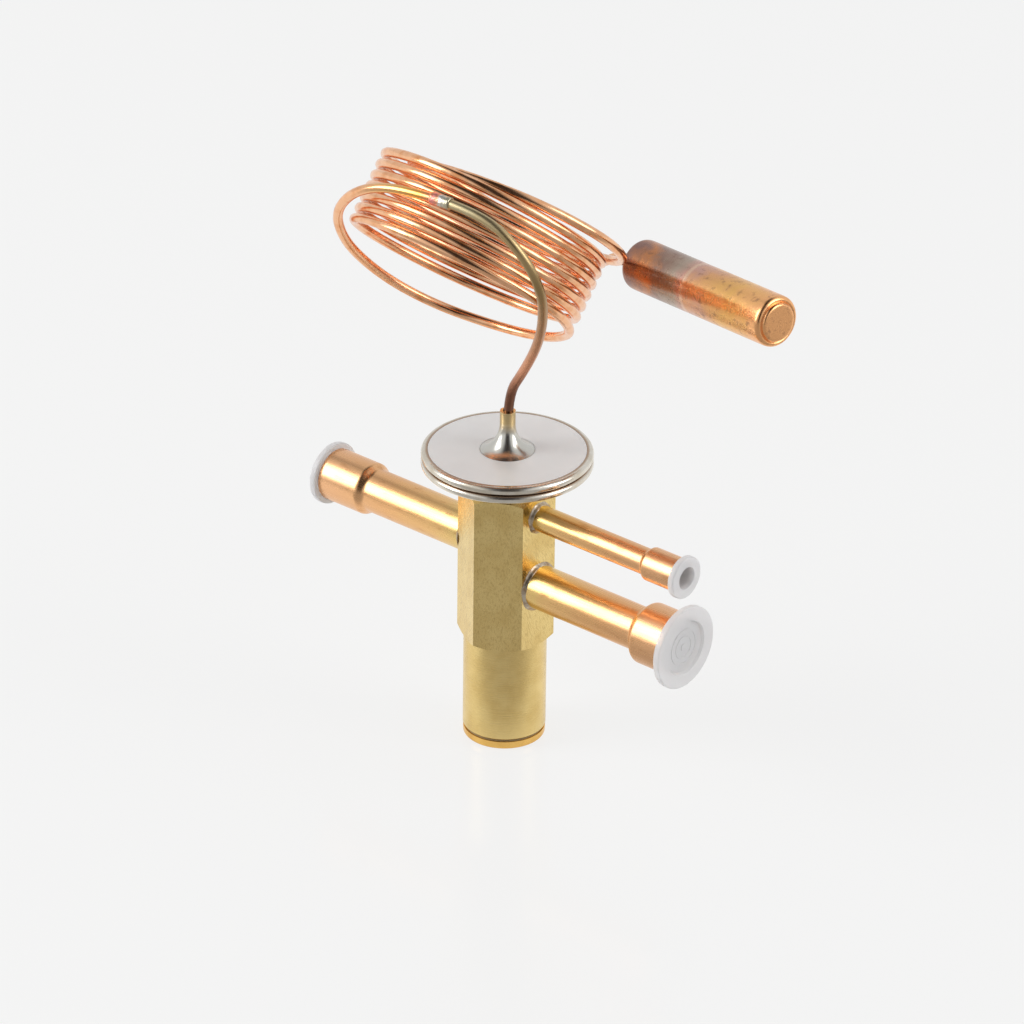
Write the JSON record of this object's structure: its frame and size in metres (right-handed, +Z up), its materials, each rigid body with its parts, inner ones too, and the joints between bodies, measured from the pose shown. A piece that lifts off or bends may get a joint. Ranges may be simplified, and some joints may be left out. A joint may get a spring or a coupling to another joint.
{
  "type": "thermostatic expansion valve",
  "caption": "Brass refrigerant expansion valve with solder tube connections, a sealed diaphragm head, a coiled copper capillary and a sensing bulb.",
  "frame": {"origin": "centre of the seal cap's resting face, on the valve axis", "axes": "+Z up the valve axis from the seal cap to the diaphragm head; -X out of the inlet; +X out of the outlet and of the equaliser line; -Y towards the side the coil's near strands lie on"},
  "size_m": [0.1085, 0.0625, 0.1414],
  "materials": {
    "hexagon_brass": "machined and wiped, slightly satin",
    "turned_brass": "turned, fine circular tool lines",
    "warm_copper": "drawn tube, heat tinted near the brazed ends",
    "bright_copper": "drawn, polished by handling",
    "tinted_copper": "drawn, dark heat tint from brazing",
    "oxidised_copper": "mottled brown and orange heat oxide",
    "solder": "frozen bright silver solder",
    "housing_steel": "pressed, bright",
    "spring_steel": "bright hard steel",
    "valve_steel": "ground",
    "plate_steel": "satin, printed",
    "ferrule_metal": "turned, silver plated below the neck",
    "seal_rubber": "moulded",
    "gasket_fibre": "flat sheet washer",
    "plug_plastic": "natural translucent, moulded"
  },
  "bodies": {
    "valve": {"valve_body": "hexagon_brass", "orifice_insert": "valve_steel", "inlet_tube": "warm_copper", "outlet_tube": "warm_copper", "equaliser_tube": "warm_copper", "inlet_braze": "solder", "outlet_braze": "solder", "equaliser_braze": "solder", "inlet_strainer": "valve_steel", "lower_housing": "housing_steel", "upper_housing": "housing_steel", "rating_plate": "plate_steel", "diaphragm": "spring_steel", "charge_ferrule": "ferrule_metal", "capillary_lead": "tinted_copper", "capillary_joint": "solder", "capillary_coil": "bright_copper", "bulb_shell": "oxidised_copper", "bulb_end": "oxidised_copper", "rod_seal": "seal_rubber", "gland_bush": "turned_brass", "spindle_seal": "seal_rubber", "superheat_spring": "spring_steel"},
    "needle_group": {"needle": "valve_steel", "needle_carrier": "turned_brass", "push_rod": "valve_steel", "buffer_plate": "housing_steel"},
    "nut": {"spring_seat": "turned_brass"},
    "spindle": {"adjusting_spindle": "turned_brass"},
    "gasket": {"cap_gasket": "gasket_fibre"},
    "cap": {"seal_cap": "turned_brass"},
    "inlet_cover": {"inlet_plug": "plug_plastic"},
    "outlet_cover": {"outlet_plug": "plug_plastic"},
    "equaliser_cover": {"equaliser_plug": "plug_plastic"}
  },
  "joints": [
    {"name": "needle_lift", "type": "slide", "parent": "valve", "child": "needle_group", "axis": [0, 0, -1], "range_m": [0, 0.0006], "stiffness_N_per_m": 3000, "springref_m": -0.003, "deforming": ["superheat_spring"]},
    {"name": "spindle_turn", "type": "hinge", "parent": "valve", "child": "spindle", "pos_m": [0, 0, 0.0147], "axis": [0, 0, 1], "range_deg": [-725, 725]},
    {"name": "spring_seat_climb", "type": "slide", "parent": "valve", "child": "nut", "axis": [0, 0, 1], "range_m": [-0.001, 0.001], "deforming": ["superheat_spring"]},
    {"name": "cap_draw", "type": "slide", "parent": "valve", "child": "gasket", "axis": [0, 0, -1], "range_m": [0, 0.006]},
    {"name": "cap_turn", "type": "hinge", "parent": "gasket", "child": "cap", "pos_m": [0, 0, 0.001], "axis": [0, 0, -1], "range_deg": [0, 2175]},
    {"name": "inlet_plug_draw", "type": "slide", "parent": "valve", "child": "inlet_cover", "axis": [-1, 0, 0], "range_m": [0, 0.06]},
    {"name": "outlet_plug_draw", "type": "slide", "parent": "valve", "child": "outlet_cover", "axis": [1, 0, 0], "range_m": [0, 0.06]},
    {"name": "equaliser_plug_draw", "type": "slide", "parent": "valve", "child": "equaliser_cover", "axis": [1, 0, 0], "range_m": [0, 0.06]}
  ],
  "couplings": [
    {"joint": "spindle_turn", "follows": "spring_seat_climb", "rad_per_m": 12566},
    {"joint": "cap_turn", "follows": "cap_draw", "rad_per_m": 6283.2}
  ]
}
